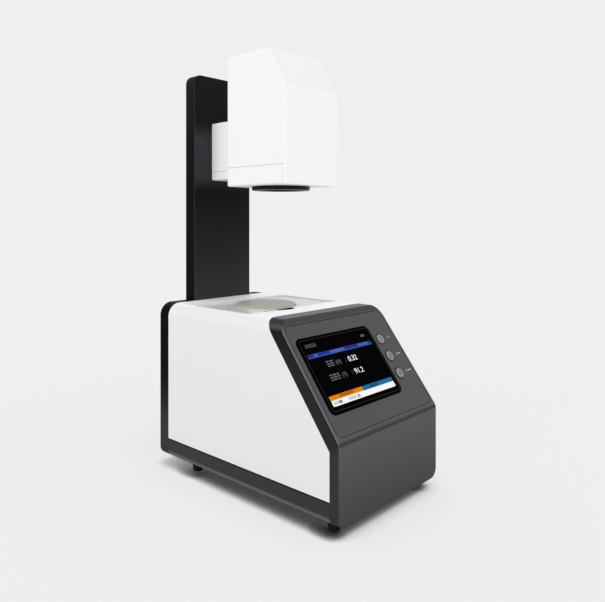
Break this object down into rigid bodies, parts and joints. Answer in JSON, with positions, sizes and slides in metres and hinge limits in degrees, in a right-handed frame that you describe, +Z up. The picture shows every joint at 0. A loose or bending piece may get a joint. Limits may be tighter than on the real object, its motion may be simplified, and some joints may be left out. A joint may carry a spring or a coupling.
{
  "type": "haze meter",
  "caption": "Benchtop haze meter: a casing with a sloping touch panel and a sphere port on top, and a lamp head held over the port by an arm and a column.",
  "frame": {"origin": "on the bench, under the middle of the casing's width and length", "axes": "+Z up, +X to the right seen from the front, and the control panel faces -Y"},
  "size_m": [0.19, 0.315, 0.5415],
  "materials": {
    "white_casing": "smooth satin-gloss moulded casing",
    "dark_moulding": "fine-textured dark moulding",
    "dark_fascia": "smooth dark printed fascia",
    "screen_glass": "black-backed polished screen glass",
    "display": "display module",
    "button_grey": "satin grey cap",
    "button_ring": "gloss dark ring",
    "stage_plate": "polished pale grey plate",
    "well_black": "black moulding",
    "port_rim": "dull anodised rim",
    "port_glass": "polished grey window, seen opaque",
    "sphere_white": "white coated half shell",
    "frame_steel": "zinc-plated sheet steel",
    "board": "green circuit board",
    "foot_rubber": "black rubber",
    "lens_black": "matt black ring",
    "lens_glass": "coated clear lens",
    "optics_black": "black anodised tube",
    "heat_sink": "plain extruded fins",
    "screw_steel": "plated steel screw",
    "socket_black": "black socket moulding"
  },
  "bodies": {
    "base": {"bottom_tray": "dark_moulding", "body_cover": "white_casing", "rear_panel": "dark_moulding", "front_bezel": "dark_moulding", "control_fascia": "dark_fascia", "screen_window": "screen_glass", "display_module": "display", "button_rings": "button_ring", "button_board": "board", "tact_switches": "socket_black", "button_board_screws": "screw_steel", "base_frame": "frame_steel", "board_standoffs": "screw_steel", "main_board": "board", "stage_well": "well_black", "port_tube": "port_rim", "port_window": "port_glass", "sphere_upper": "sphere_white", "sphere_lower": "sphere_white", "detector_housing": "optics_black", "sphere_posts": "screw_steel", "sphere_screws": "screw_steel", "light_trap": "optics_black", "column_spine": "frame_steel", "column_cover": "dark_moulding", "arm_beam": "frame_steel", "arm_cover": "white_casing", "arm_lower_cover": "white_casing", "head_bracket": "frame_steel", "head_shell": "white_casing", "head_lower_cover": "white_casing", "head_screws": "screw_steel", "lens_ring": "lens_black", "objective_lens": "lens_glass", "optics_tube": "optics_black", "condenser_lens": "lens_glass", "lamp_board": "board", "heat_sink": "heat_sink", "foot_front_left": "foot_rubber", "foot_front_right": "foot_rubber", "foot_rear_left": "foot_rubber", "foot_rear_right": "foot_rubber", "foot_screws": "screw_steel", "rear_screws": "screw_steel", "power_switch_frame": "socket_black", "usb_port": "socket_black", "dc_inlet": "socket_black", "port_board": "board"},
    "button_upper": {"button_upper": "button_grey"},
    "button_middle": {"button_middle": "button_grey"},
    "button_lower": {"button_lower": "button_grey"},
    "stage_plate": {"stage_plate": "stage_plate"},
    "power_rocker": {"power_rocker": "socket_black"}
  },
  "joints": [
    {"name": "button_upper_press", "type": "slide", "parent": "base", "child": "button_upper", "axis": [0, 0.7934, -0.6088], "range_m": [0, 0.001], "stiffness_N_per_m": 300},
    {"name": "button_middle_press", "type": "slide", "parent": "base", "child": "button_middle", "axis": [0, 0.7934, -0.6088], "range_m": [0, 0.001], "stiffness_N_per_m": 300},
    {"name": "button_lower_press", "type": "slide", "parent": "base", "child": "button_lower", "axis": [0, 0.7934, -0.6088], "range_m": [0, 0.001], "stiffness_N_per_m": 300},
    {"name": "stage_plate_lift", "type": "slide", "parent": "base", "child": "stage_plate", "axis": [0, 0, 1], "range_m": [0, 0.03]},
    {"name": "power_rocker_tilt", "type": "hinge", "parent": "base", "child": "power_rocker", "pos_m": [0.066, 0.1525, 0.096], "axis": [1, 0, 0], "range_deg": [0, 14]}
  ]
}
